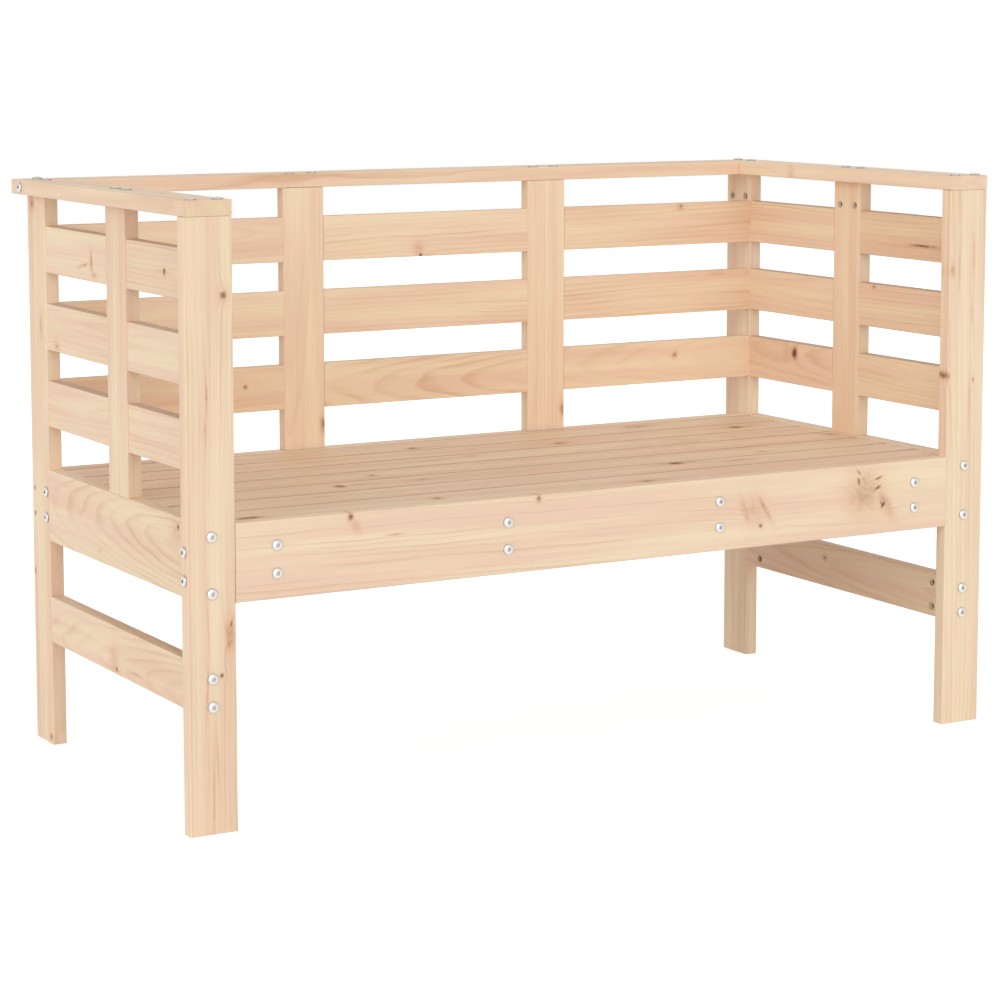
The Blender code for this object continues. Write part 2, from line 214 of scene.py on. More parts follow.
BOARD_SEED = 58
STRAIGHT_SHARE = 0.55
FAR_HEART_MM = (70, 190)
NEAR_HEART_MM = (0, 22)
HEART_DEPTH_MM = (10, 45)
HEART_SLOPE = (0.02, 0.12)
RING_STRENGTH = (0.25, 0.9)
BOARD_TONE = (-0.06, 0.06)
NOISE_ROOM = 100
# Painted shade: how far the narrow sides of seat and side slats darken where they look into gaps.
PAINTED_SHADE_IN_GAPS = 0.42

draw = np.random.default_rng(BOARD_SEED)
character = {}
for node in boards:
    low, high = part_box(node)
    straight = draw.random() < STRAIGHT_SHARE
    side = draw.choice((-1, 1))
    drawn = (
        side * draw.uniform(*(FAR_HEART_MM if straight else NEAR_HEART_MM)),
        draw.choice((-1, 1)) * draw.uniform(*HEART_DEPTH_MM),
        draw.choice((-1, 1)) * draw.uniform(*HEART_SLOPE),
        draw.uniform(*RING_STRENGTH),
        draw.uniform(*BOARD_TONE),
    )
    to_side, depth, slope, strength, tone = GRAIN.get(node, drawn)
    character[node] = {
        "centre": np.array(low + high) / 2,
        "order": np.argsort(-np.array(high - low)),
        "heart": (to_side, depth, slope),
        "noise_place": tuple(draw.uniform(0, NOISE_ROOM, 3)),
        "ring_strength": strength,
        "tone": tone,
        "shade_painted_in_gaps": PAINTED_SHADE_IN_GAPS if node.startswith(("seat_slat", "side_slat")) else 0.0,
    }
print(len(GRAIN), "boards by hand and", len(boards) - len(GRAIN), "drawn")

# %% [markdown]
# ## Writing the grain on a mesh
#
# A shader needs to know where it is inside its board: how far along the grain, how far
# across, and how deep. World coordinates don't tell, because boards lie in three
# directions. So each vertex carries its own place in its board as an attribute, in
# millimetres. The other facts about the board are the same at all of its vertices. Every
# board carries the same count of knots. Those that it hasn't got lie far off its ends.

# %% What each vertex carries
MM_PER_METRE = 1000
KNOT_NUMBERS = 6
NO_KNOT = (10000, 0, 1, 1, 0)


def store(mesh, name, values, kind="FLOAT", domain="POINT"):
    """Store one number or vector for each vertex or face of a mesh, under a name."""
    attribute = mesh.attributes.new(name, kind, domain)
    field = "vector" if kind == "FLOAT_VECTOR" else "value"
    attribute.data.foreach_set(field, np.array(values, np.float32).ravel())


def knot_of(node, number):
    """Return one knot of a board, with no tilt where none is given, or a knot far away."""
    knots = KNOTS_MM.get(node, [])
    knot = knots[number] if number < len(knots) else NO_KNOT
    return (*knot, 0)[:KNOT_NUMBERS]


def write_grain(mesh, nodes, board_index):
    """Store on a mesh where each vertex lies in its board, and what that board is like."""
    points = np.empty(len(mesh.vertices) * 3)
    mesh.vertices.foreach_get("co", points)
    facts = {}
    for name in ("centre", "order", "heart", "noise_place", "tone", "ring_strength"):
        facts[name] = np.array([character[node][name] for node in nodes])[board_index]
    from_centre = points.reshape(-1, 3) - facts["centre"]
    grain_mm = np.take_along_axis(from_centre, facts["order"], axis=1) * MM_PER_METRE
    store(mesh, "grain_mm", grain_mm, "FLOAT_VECTOR")
    for name in ("heart", "noise_place"):
        store(mesh, name, facts[name], "FLOAT_VECTOR")
    for name in ("tone", "ring_strength"):
        store(mesh, name, facts[name])
    for number in range(KNOTS_PER_BOARD):
        knots = np.array([knot_of(node, number) for node in nodes], float)[board_index]
        along, across, half_length, half_width, dark, tilt = knots.T
        place = np.stack((along, across, dark), axis=1)
        stretch = np.stack((1 / half_length, 1 / half_width, np.zeros(len(knots))), axis=1)
        store(mesh, f"knot_{number}", place, "FLOAT_VECTOR")
        store(mesh, f"knot_{number}_stretch", stretch, "FLOAT_VECTOR")
        store(mesh, f"knot_{number}_turn", -np.radians(tilt))


print("vertices carry their place, heart, tone, rings and", KNOTS_PER_BOARD, "knots")

# %% [markdown]
# Three more attributes belong to faces. They mark the sawn ends, which drink in light and
# look darker, the narrow sides that look into gaps, which get painted shade, and the eased
# edges, which are painted paler: partly wear from handling and partly a painted highlight
# where the rounded edge catches the light. The way a face looks, seen along the directions
# of its board, tells which of them it is, so nothing has to be picked by hand.

# %% What each face carries
# Eased edges are painted paler: partly wear, partly a painted highlight where they catch light.
EASED_WEAR_AND_PAINTED_HIGHLIGHT_GAIN = 1.4


def mark_faces(mesh, nodes, board_index):
    """Store on a mesh how far each face is an end, a narrow side with painted shade or an eased edge."""
    marks = {"end_grain": [], "narrow_painted_shade": [], "eased": []}
    for face in mesh.polygons:
        board = character[nodes[board_index[face.vertices[0]]]]
        along, across, deep = np.abs(np.array(face.normal))[board["order"]]
        marks["end_grain"].append(along)
        marks["narrow_painted_shade"].append(across * board["shade_painted_in_gaps"])
        marks["eased"].append(min(across, deep) * EASED_WEAR_AND_PAINTED_HIGHLIGHT_GAIN)
    for name, values in marks.items():
        store(mesh, name, values, domain="FACE")


print("faces carry ends, narrow sides and eased edges")

# %% [markdown]
# ## Planed pine
#
# Scots pine or a close relative, planed and left raw. The planer leaves a dull, even
# surface. Spring wood is pale cream and summer wood is a thin, darker line at the end of
# each ring. Bands of yellowish and pinkish wood run along the board.
#
# An image of wood would repeat and would run the same way on each board. Here the rings
# are worked out instead: they are cylinders around the heart of the tree, so the distance
# from it, cut into steps, gives lines on the faces and arcs on the ends by itself. Where
# the board runs towards the heart, the lines close to arches. No tree is round, so a long
# slow noise bends the rings first. The other noises are for bands and clouds of colour, for
# fibres and for the rims of knots. Each has its own place in each board, and all but the
# one for the rims are long along the grain and narrow across it.

# %% Noises and distance from the heart
WANDER_DEPTH_MM = 12
NOISES_MM = {
    # name: length along the grain, width across it, detail
    "wander": (240, 36, 2.0),
    "band": (420, 19, 2.0),
    "cloud": (230, 40, 3.0),
    "fibre": (110, 2.2, 3.0),
    "rim": (8, 7, 3.0),
}

pine = bpy.data.materials.new("planed pine")
pine.use_nodes = True
wood = pine.node_tree
pine_shader = wood.nodes["Principled BSDF"]
grain = add(wood, "ShaderNodeAttribute", attribute_name="grain_mm").outputs["Vector"]
noise_place = add(wood, "ShaderNodeAttribute", attribute_name="noise_place").outputs["Vector"]
heart_place = add(wood, "ShaderNodeAttribute", attribute_name="heart").outputs["Vector"]
here = add(wood, "ShaderNodeSeparateXYZ", {0: grain}).outputs
heart = add(wood, "ShaderNodeSeparateXYZ", {0: heart_place}).outputs

noises = {}
for name, (length, width, detail) in NOISES_MM.items():
    stretch = (1 / length, 1 / width, 1 / width)
    moved = add(
        wood, "ShaderNodeVectorMath", {0: grain, 1: stretch, 2: noise_place}, operation="MULTIPLY_ADD"
    ).outputs[0]
    noise = add(wood, "ShaderNodeTexNoise", {"Vector": moved, "Scale": 1.0, "Detail": detail})
    noises[name] = noise.outputs["Fac"]

sloping = add(
    wood, "ShaderNodeMath", {0: here["X"], 1: heart["Z"], 2: heart["Y"]}, operation="MULTIPLY_ADD"
).outputs[0]
below = add(wood, "ShaderNodeMath", {0: here["Z"], 1: sloping}, operation="SUBTRACT").outputs[0]
beside = add(wood, "ShaderNodeMath", {0: here["Y"], 1: heart["X"]}, operation="SUBTRACT").outputs[0]
from_heart = add(wood, "ShaderNodeCombineXYZ", {"X": beside, "Y": below}).outputs[0]
radius = add(wood, "ShaderNodeVectorMath", {0: from_heart}, operation="LENGTH").outputs["Value"]
bent = add(
    wood, "ShaderNodeMath", {0: noises["wander"], 1: WANDER_DEPTH_MM, 2: radius}, operation="MULTIPLY_ADD"
).outputs[0]
print("rings wander up to", WANDER_DEPTH_MM / 2, "mm to each side")

# %% [markdown]
# A knot is the stump of a branch, so a ring that meets it is pushed aside. Each knot is a
# soft hill that is as high as the knot is dark. The highest hill at a place colours the
# knot, from a reddish stain at its foot to dark brown at its top, and a broader copy of
# each hill is added to the distance from the heart, which bends the lines around it. A
# fine noise breaks up the hills, so that no knot has a clean round rim.

# %% Knots of the planed pine
KNOT_SWELL_MM = 4.5
BROADER = 0.25
RIM_RANGE = 1.3
RIM_LEAST = 0.35

darkest = None
for number in range(KNOTS_PER_BOARD):
    title = f"knot_{number}"
    knot = add(wood, "ShaderNodeAttribute", attribute_name=title).outputs["Vector"]
    stretch = add(wood, "ShaderNodeAttribute", attribute_name=f"{title}_stretch").outputs["Vector"]
    dark = add(wood, "ShaderNodeSeparateXYZ", {0: knot}).outputs["Z"]
    offset = add(wood, "ShaderNodeVectorMath", {0: grain, 1: knot}, operation="SUBTRACT").outputs[0]
    angle = add(wood, "ShaderNodeAttribute", attribute_name=f"{title}_turn").outputs["Fac"]
    turned = add(
        wood, "ShaderNodeVectorRotate", {"Vector": offset, "Angle": angle}, rotation_type="Z_AXIS"
    ).outputs[0]
    scaled = add(wood, "ShaderNodeVectorMath", {0: turned, 1: stretch}, operation="MULTIPLY").outputs[0]
    square = add(
        wood, "ShaderNodeVectorMath", {0: scaled, 1: scaled}, operation="DOT_PRODUCT"
    ).outputs["Value"]
    falling = add(wood, "ShaderNodeMath", {0: square, 1: -1.0}, operation="MULTIPLY").outputs[0]
    hill = add(wood, "ShaderNodeMath", {0: falling}, operation="EXPONENT").outputs[0]
    broad = add(wood, "ShaderNodeMath", {0: hill, 1: BROADER}, operation="POWER").outputs[0]
    push = add(wood, "ShaderNodeMath", {0: broad, 1: dark}, operation="MULTIPLY").outputs[0]
    bent = add(
        wood, "ShaderNodeMath", {0: push, 1: KNOT_SWELL_MM, 2: bent}, operation="MULTIPLY_ADD"
    ).outputs[0]
    height = add(wood, "ShaderNodeMath", {0: hill, 1: dark}, operation="MULTIPLY").outputs[0]
    if darkest is not None:
        height = add(wood, "ShaderNodeMath", {0: height, 1: darkest}, operation="MAXIMUM").outputs[0]
    darkest = height

rough_rim = add(
    wood, "ShaderNodeMath", {0: noises["rim"], 1: RIM_RANGE, 2: RIM_LEAST}, operation="MULTIPLY_ADD"
).outputs[0]
knot_height = add(wood, "ShaderNodeMath", {0: darkest, 1: rough_rim}, operation="MULTIPLY").outputs[0]
knot_colours = add(
    wood,
    "ShaderNodeValToRGB",
    {"Fac": knot_height},
    stops=[
        (0.0, linear("#E2A482", 0.0)),
        (0.22, linear("#DC9F7B", 0.26)),
        (0.45, linear("#C08A64", 0.5)),
        (0.7, linear("#8E5E40", 0.85)),
        (1.0, linear("#5A3825", 0.96)),
    ],
)
print(KNOTS_PER_BOARD, "knots at most on each board")

# %% [markdown]
# Trees have good and bad years, so a slow noise along the radius makes some rings wide
# and some narrow, and a random number for each ring makes some of them darker. Within a
# ring the wood darkens slowly and ends with a sharp line, which a ramp draws. Real rings
# are 2 to 4 mm wide, too fine for a picture of the whole bench, so they are drawn about
# twice as wide.

# %% Rings of the planed pine
RING_MM = 6.5
YEARS_MM = 17
YEARS_SHIFT = 1.1
SUMMER_RANGE = 0.85
SUMMER_LEAST = 0.25
RING_PROFILE = ((0, 0), (0.5, 0.14), (0.84, 1), (0.93, 0.8), (1, 0))

years = add(wood, "ShaderNodeMath", {0: bent, 1: YEARS_MM}, operation="DIVIDE").outputs[0]
growth = add(
    wood, "ShaderNodeTexNoise", {"W": years, "Scale": 1.0, "Detail": 1.0}, noise_dimensions="1D"
).outputs["Fac"]
even = add(wood, "ShaderNodeMath", {0: bent, 1: RING_MM}, operation="DIVIDE").outputs[0]
steps = add(
    wood, "ShaderNodeMath", {0: growth, 1: YEARS_SHIFT, 2: even}, operation="MULTIPLY_ADD"
).outputs[0]
within = add(wood, "ShaderNodeMath", {0: steps}, operation="FRACT").outputs[0]
year = add(wood, "ShaderNodeMath", {0: steps}, operation="FLOOR").outputs[0]
chance = add(wood, "ShaderNodeTexWhiteNoise", {"W": year}, noise_dimensions="1D").outputs["Value"]
summer = add(
    wood, "ShaderNodeMath", {0: chance, 1: SUMMER_RANGE, 2: SUMMER_LEAST}, operation="MULTIPLY_ADD"
).outputs[0]
ring = add(
    wood,
    "ShaderNodeValToRGB",
    {"Fac": within},
    stops=[(stop, (value, value, value, 1)) for stop, value in RING_PROFILE],
).outputs["Color"]
print("rings of about", RING_MM, "mm")

# %% [markdown]
# All that darkens the wood adds up to one number, its shade: the lines of the rings, the
# fibres, clouds of darker wood and the sawn ends. Eased edges take some of it away: partly
# wear and partly a painted highlight. The lines come and go along the board, and are fainter
# on the ends.

# %% Shade of the planed pine
NOISE_LOW = 0.36
NOISE_HIGH = 0.64
FAINTEST_LINE = 0.2
END_FADE = 0.6
SHADE_START = -0.16
LINE_SHARE = 0.7
FIBRE_SHARE = 0.24
CLOUD_SHARE = 0.2
END_SHARE = 0.12
# Wear and painted highlight: eased edges come out lighter.
EASED_WEAR_AND_PAINTED_HIGHLIGHT_SHARE = -0.15

strength = add(wood, "ShaderNodeAttribute", attribute_name="ring_strength").outputs["Fac"]
tone = add(wood, "ShaderNodeAttribute", attribute_name="tone").outputs["Fac"]
end = add(wood, "ShaderNodeAttribute", attribute_name="end_grain").outputs["Fac"]
# Painted shade of the narrow sides that look into gaps.
narrow = add(wood, "ShaderNodeAttribute", attribute_name="narrow_painted_shade").outputs["Fac"]
eased = add(wood, "ShaderNodeAttribute", attribute_name="eased").outputs["Fac"]

fade = add(wood, "ShaderNodeMapRange", {
    "Value": noises["cloud"],
    "From Min": NOISE_LOW,
    "From Max": NOISE_HIGH,
    "To Min": FAINTEST_LINE,
    "To Max": 1.0,
}).outputs[0]
on_face = add(wood, "ShaderNodeMath", {0: end, 1: -END_FADE, 2: 1.0}, operation="MULTIPLY_ADD").outputs[0]
line = ring
for factor in (strength, summer, fade, on_face):
    line = add(wood, "ShaderNodeMath", {0: line, 1: factor}, operation="MULTIPLY").outputs[0]
shade = add(wood, "ShaderNodeMath", {0: tone, 1: SHADE_START}, operation="ADD").outputs[0]
for part, share in (
    (line, LINE_SHARE),
    (noises["fibre"], FIBRE_SHARE),
    (noises["cloud"], CLOUD_SHARE),
    (end, END_SHARE),
    (eased, EASED_WEAR_AND_PAINTED_HIGHLIGHT_SHARE),
):
    shade = add(wood, "ShaderNodeMath", {0: part, 1: share, 2: shade}, operation="MULTIPLY_ADD").outputs[0]
shade = add(wood, "ShaderNodeMath", {0: shade, 1: 0.0}, operation="ADD", use_clamp=True).outputs[0]
print("planed pine has", len(wood.nodes), "nodes so far")

# %% [markdown]
# The shade turns spring wood into summer wood, and knots and narrow sides are laid over
# it. A Mix node that is set to colours takes its factor at input 0 and its colours at 6
# and 7, and gives the result at output 2. Raw wood is dull, along some fibres more than
# along others, and the fibres also give a very shallow relief.

# %% Colour, dullness and relief of the planed pine
YELLOW_SPRING = linear("#F5DFBE")
PINK_SPRING = linear("#F0CFB4")
SUMMER_WOOD = linear("#CF9F70")
# Colour of the painted shade on narrow sides that look into gaps.
PAINTED_SHADE_BROWN = linear("#8A5434")
DULL_RANGE = 0.24
DULL_LEAST = 0.48
RELIEF = 0.25
RELIEF_DEPTH = 0.00015

band = add(wood, "ShaderNodeMapRange", {
    "Value": noises["band"],
    "From Min": NOISE_LOW,
    "From Max": NOISE_HIGH,
    "To Min": 0.0,
    "To Max": 1.0,
}).outputs[0]
spring = add(wood, "ShaderNodeMix", {0: band, 6: YELLOW_SPRING, 7: PINK_SPRING}, data_type="RGBA").outputs[2]
shaded = add(wood, "ShaderNodeMix", {0: shade, 6: spring, 7: SUMMER_WOOD}, data_type="RGBA").outputs[2]
# Painted shade: narrow sides that look into gaps are darkened towards brown.
with_painted_shade = add(wood, "ShaderNodeMix", {0: narrow, 6: shaded, 7: PAINTED_SHADE_BROWN}, data_type="RGBA").outputs[2]
knotted = add(
    wood,
    "ShaderNodeMix",
    {0: knot_colours.outputs["Alpha"], 6: with_painted_shade, 7: knot_colours.outputs["Color"]},
    data_type="RGBA",
).outputs[2]
dull = add(
    wood, "ShaderNodeMath", {0: noises["fibre"], 1: DULL_RANGE, 2: DULL_LEAST}, operation="MULTIPLY_ADD"
).outputs[0]
relief = add(
    wood, "ShaderNodeBump", {"Height": noises["fibre"], "Strength": RELIEF, "Distance": RELIEF_DEPTH}
).outputs["Normal"]
wood.links.new(knotted, pine_shader.inputs["Base Color"])
wood.links.new(dull, pine_shader.inputs["Roughness"])
wood.links.new(relief, pine_shader.inputs["Normal"])
print("planed pine has", len(wood.nodes), "nodes")

# %% [markdown]
# ## Bright zinc-plated steel
#
# Bolts and nuts are steel with a thin bright coat of zinc. The bath leaves them almost
# as smooth as polished metal, pale and slightly blurred. On a bolt head the dome has the
# pale colour of the zinc, while the rim and the socket are painted darker grey: painted
# shade down in the socket, and painted shade and a painted dark reflection at the rim. Each
# head stores how far a point is from its axis, as a share of its radius, and a ramp turns
# that into colour. Nuts have no such number, which counts as zero, so they take the dark
# grey at the start of the ramp, the painted shade of the holes they sit in. The grit of the
# coat is drawn as spots of about 0.7 mm, coarser than it is, so that it shows at all.

# %% Zinc-plated steel
GRIT_PER_METRE = 1400.0
BLUR_RANGE = 0.24
BLUR_LEAST = 0.2
GRIT_RELIEF = 0.1
GRIT_DEPTH = 0.0001

zinc = bpy.data.materials.new("bright zinc-plated steel")
zinc.use_nodes = True
steel = zinc.node_tree
zinc_shader = steel.nodes["Principled BSDF"]
zinc_shader.inputs["Metallic"].default_value = 1.0
from_axis = add(steel, "ShaderNodeAttribute", attribute_name="from_axis").outputs["Fac"]
zinc_and_painted_shade = add(
    steel,
    "ShaderNodeValToRGB",
    {"Fac": from_axis},
    # Painted shade in the socket and on the nuts, the pale zinc of the dome, then painted shade and dark
    # reflection at the rim.
    stops=[
        (0.0, linear("#5C5D60")),
        (0.2, linear("#B2B2B4")),
        (0.34, linear("#B2B2B4")),
        (0.4, linear("#D6D2CE")),
        (0.8, linear("#E0DBD7")),
        (0.95, linear("#BDB9B4")),
        (1.0, linear("#B4B0AA")),
    ],
).outputs["Color"]
spot = add(steel, "ShaderNodeTexCoord").outputs["Object"]
grit = add(
    steel, "ShaderNodeTexNoise", {"Vector": spot, "Scale": GRIT_PER_METRE, "Detail": 3.0}
).outputs["Fac"]
blur = add(
    steel, "ShaderNodeMath", {0: grit, 1: BLUR_RANGE, 2: BLUR_LEAST}, operation="MULTIPLY_ADD"
).outputs[0]
grit_bump = add(
    steel, "ShaderNodeBump", {"Height": grit, "Strength": GRIT_RELIEF, "Distance": GRIT_DEPTH}
).outputs["Normal"]
steel.links.new(zinc_and_painted_shade, zinc_shader.inputs["Base Color"])
steel.links.new(blur, zinc_shader.inputs["Roughness"])
steel.links.new(grit_bump, zinc_shader.inputs["Normal"])
print("zinc has", len(steel.nodes), "nodes")

# %% [markdown]
# ## Slats of the seat, the back and the sides
#
# The slats are one board, repeated in rows. Modelling each by hand would be slow and hard
# to change, so a small geometry tree lays them out: a grid of points, one cube on each
# point, scaled to the size of a slat. It is given the first slat, the steps to the next
# column and the next row, and how many there are. All of these are measured on the frame,
# so the slats lie exactly where the CAD has them. Each point stores its number, which
# stays with the slat, so that the grain can be written slat by slat afterwards.

# %% The tree that lays out slats: numbered points


def geometry_tree(name, inputs):
    """Make a geometry tree with inputs of the given kinds, and return it with their sockets."""
    tree = bpy.data.node_groups.new(name, "GeometryNodeTree")
    tree.interface.new_socket("Geometry", in_out="INPUT", socket_type="NodeSocketGeometry")
    for title, kind in inputs.items():
        tree.interface.new_socket(title, in_out="INPUT", socket_type=f"NodeSocket{kind}")
    tree.interface.new_socket("Geometry", in_out="OUTPUT", socket_type="NodeSocketGeometry")
    return tree, add(tree, "NodeGroupInput").outputs


slat_tree, given = geometry_tree("rows of slats", {
    "First Slat": "Vector",
    "Slat Size": "Vector",
    "Column Step": "Vector",
    "Row Step": "Vector",
    "Columns": "Int",
    "Rows": "Int",
    "Shortest Eased Edge": "Float",
    "Wood": "Material",
})
columns = given["Columns"]
count = add(slat_tree, "ShaderNodeMath", {0: columns, 1: given["Rows"]}, operation="MULTIPLY").outputs[0]
spots = add(slat_tree, "GeometryNodePoints", {"Count": count}).outputs[0]
index = add(slat_tree, "GeometryNodeInputIndex").outputs[0]
divided = add(slat_tree, "ShaderNodeMath", {0: index, 1: columns}, operation="DIVIDE").outputs[0]
row = add(slat_tree, "ShaderNodeMath", {0: divided}, operation="FLOOR").outputs[0]
column = add(slat_tree, "ShaderNodeMath", {0: index, 1: columns}, operation="MODULO").outputs[0]
ways = []
for step, times in (("Column Step", column), ("Row Step", row)):
    way = add(slat_tree, "ShaderNodeVectorMath", {0: given[step], "Scale": times}, operation="SCALE")
    ways.append(way.outputs[0])
away = add(slat_tree, "ShaderNodeVectorMath", {0: ways[0], 1: ways[1]}, operation="ADD").outputs[0]
where = add(
    slat_tree, "ShaderNodeVectorMath", {0: given["First Slat"], 1: away}, operation="ADD"
).outputs[0]
moved = add(slat_tree, "GeometryNodeSetPosition", {"Geometry": spots, "Position": where}).outputs[0]
numbered = add(
    slat_tree,
    "GeometryNodeStoreNamedAttribute",
    {"Geometry": moved, "Name": "slat", "Value": index},
    data_type="INT",
    domain="POINT",
).outputs[0]
print("slats lie on a grid of numbered points")

# %% [markdown]
# The planer eases the long edges only, and the saw leaves the ends sharp. So the tree
# gives a bevel weight of 1 to edges above a certain length, and the Bevel modifier that
# comes after it goes by weight.

# %% The tree that lays out slats: cubes and edges
cube = add(slat_tree, "GeometryNodeMeshCube", {"Size": (1, 1, 1)}).outputs["Mesh"]
laid = add(
    slat_tree,
    "GeometryNodeInstanceOnPoints",
    {"Points": numbered, "Instance": cube, "Scale": given["Slat Size"]},
).outputs[0]
real = add(slat_tree, "GeometryNodeRealizeInstances", {"Geometry": laid}).outputs[0]
edge = add(slat_tree, "GeometryNodeInputMeshEdgeVertices").outputs
span = add(
    slat_tree, "ShaderNodeVectorMath", {0: edge["Position 1"], 1: edge["Position 2"]}, operation="DISTANCE"
).outputs["Value"]
is_long = add(
    slat_tree, "ShaderNodeMath", {0: span, 1: given["Shortest Eased Edge"]}, operation="GREATER_THAN"
).outputs[0]
weighted = add(
    slat_tree,
    "GeometryNodeStoreNamedAttribute",
    {"Geometry": real, "Name": "bevel_weight_edge", "Value": is_long},
    data_type="FLOAT",
    domain="EDGE",
).outputs[0]
wooden = add(
    slat_tree, "GeometryNodeSetMaterial", {"Geometry": weighted, "Material": given["Wood"]}
).outputs[0]
add(slat_tree, "NodeGroupOutput", {"Geometry": wooden})
print("slat tree has", len(slat_tree.nodes), "nodes")

# %% [markdown]
# Three more helpers. The first runs a tree on a new object. The second turns an object
# with live modifiers into a plain mesh. The third shades a board: soft over the eased
# edges, and with a Weighted Normal modifier that keeps the broad faces flat.

# %% Finishing pieces
SHARP_BOARD_ANGLE = math.radians(50)


def grow(name, tree, values, source=None):
    """Run a geometry tree with named inputs on a new object and return the object."""
    base = bpy.data.objects.new(name, source or bpy.data.meshes.new(name))
    bpy.context.scene.collection.objects.link(base)
    modifier = base.modifiers.new(tree.name, "NODES")
    modifier.node_group = tree
    for item in tree.interface.items_tree:
        if item.in_out == "INPUT" and item.name in values:
            modifier[item.identifier] = values[item.name]
    return base


def plain(source):
    """Replace an object that has live modifiers by a plain mesh object of the same name."""
    name = source.name
    depsgraph = bpy.context.evaluated_depsgraph_get()
    mesh = bpy.data.meshes.new_from_object(
        source.evaluated_get(depsgraph), preserve_all_data_layers=True, depsgraph=depsgraph
    )
    bpy.data.objects.remove(source)
    mesh.name = name
    piece = bpy.data.objects.new(name, mesh)
    bpy.context.scene.collection.objects.link(piece)
    return piece


def shade_board(board):
    """Shade a board softly over its eased edges and flat on its faces."""
    board.data.shade_smooth()
    board.data.set_sharp_from_angle(angle=SHARP_BOARD_ANGLE)
    board.modifiers.new("flat faces", "WEIGHTED_NORMAL").keep_sharp = True
    return plain(board)


print("helpers for pieces are ready")

# %% [markdown]
# Now the tree runs once for each set of slats: seven in the seat, three rows of three in
# the back, and three rows of two in each side. In the CAD a thin gap keeps boards apart
# where they meet. Here the slats are that much longer at both ends, because a line of
# daylight would show there.

# %% Seat, back and side slats
EDGE_ROUND = 0.0012
EDGE_SEGMENTS = 3
SHORTEST_EASED = 0.1
CONTACT = 0.0003
ROWS = ("top", "middle", "bottom")
slat_sets = {
    "seat_slats": [[f"seat_slat_{number}"] for number in range(1, 8)],
    "back_slats": [[f"back_slat_{row}_{bay}" for bay in ("left", "centre", "right")] for row in ROWS],
    "left_side_slats": [[f"side_slat_left_{row}_{bay}" for bay in ("front", "back")] for row in ROWS],
    "right_side_slats": [[f"side_slat_right_{row}_{bay}" for bay in ("front", "back")] for row in ROWS],
}
for name, grid in slat_sets.items():
    first = character[grid[0][0]]["centre"]
    next_column = character[grid[0][1]]["centre"] if len(grid[0]) > 1 else first
    next_row = character[grid[1][0]]["centre"]
    low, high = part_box(grid[0][0])
    size = high - low
    size[character[grid[0][0]]["order"][0]] += 2 * CONTACT
    slats = grow(name, slat_tree, {
        "First Slat": first,
        "Slat Size": size,
        "Column Step": next_column - first,
        "Row Step": next_row - first,
        "Columns": len(grid[0]),
        "Rows": len(grid),
        "Shortest Eased Edge": SHORTEST_EASED,
        "Wood": pine,
    })
    easing = slats.modifiers.new("eased edges", "BEVEL")
    easing.width = EDGE_ROUND
    easing.segments = EDGE_SEGMENTS
    easing.limit_method = "WEIGHT"
    slats = shade_board(plain(slats))
    numbers = np.empty(len(slats.data.vertices), np.int32)
    slats.data.attributes["slat"].data.foreach_get("value", numbers)
    nodes = [node for row in grid for node in row]
    write_grain(slats.data, nodes, numbers)
    mark_faces(slats.data, nodes, numbers)
    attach(slats, "root")
    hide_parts(*nodes)
    print(name, "-", len(nodes), "slats,", len(slats.data.polygons), "faces")

# %% [markdown]
# ## Legs, posts, caps, rails and aprons
#
# These boards are drilled for bolts and nuts, each in its own way. The CAD has the holes
# already, so the boards are copies of the frame, not drawn again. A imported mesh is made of
# loose triangles, some of them thin as a hair around the holes: doubles are merged first,
# and triangles that lie in one plane are dissolved into one face.

# %% Drilled boards
DOUBLES_WITHIN = 0.00001
FLAT_ANGLE = math.radians(0.5)
slatted = {node for grid in slat_sets.values() for row in grid for node in row}
for node in boards:
    if node in slatted:
        continue
    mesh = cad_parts[node].data.copy()
    shape = bmesh.new()
    shape.from_mesh(mesh)
    bmesh.ops.remove_doubles(shape, verts=shape.verts, dist=DOUBLES_WITHIN)
    bmesh.ops.dissolve_limit(shape, angle_limit=FLAT_ANGLE, verts=shape.verts, edges=shape.edges)
    shape.to_mesh(mesh)
    shape.free()
    mesh.materials.clear()
    mesh.materials.append(pine)
    board = bpy.data.objects.new(f"pine_{node}", mesh)
    bpy.context.scene.collection.objects.link(board)
    board = shade_board(board)
    whole = np.zeros(len(board.data.vertices), int)
    write_grain(board.data, [node], whole)
    mark_faces(board.data, [node], whole)
    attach(board, "root")
    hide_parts(node)
print(len(boards) - len(slatted), "drilled boards")

# %% [markdown]
# ## Bolts
#
# The boards are held by bolts with low domed heads and a hexagon socket. The heads differ
# only in their place, which is a job for a geometry tree that makes one and sets a copy on
# each point. The head starts as a flat cylinder. The points of its top are lifted to half
# an ellipse: most in the middle, and not at all at the rim.

# %% The tree that makes bolts: a domed head
HEAD_SIDES = 32
DOME_RINGS = 6
bolt_tree, given = geometry_tree("bolts", {
    "Head Radius": "Float",
    "Rim Height": "Float",
    "Dome Height": "Float",
    "Socket Radius": "Float",
    "Socket Depth": "Float",
    "Shank Radius": "Float",
    "Metal": "Material",
})
disc = add(
    bolt_tree,
    "GeometryNodeMeshCylinder",
    {
        "Vertices": HEAD_SIDES,
        "Side Segments": 1,
        "Fill Segments": DOME_RINGS,
        "Radius": given["Head Radius"],
        "Depth": given["Rim Height"],
    },
    fill_type="TRIANGLE_FAN",
).outputs
position = add(bolt_tree, "GeometryNodeInputPosition").outputs[0]
flat = add(bolt_tree, "ShaderNodeVectorMath", {0: position, 1: (1, 1, 0)}, operation="MULTIPLY").outputs[0]
reach = add(bolt_tree, "ShaderNodeVectorMath", {0: flat}, operation="LENGTH").outputs["Value"]
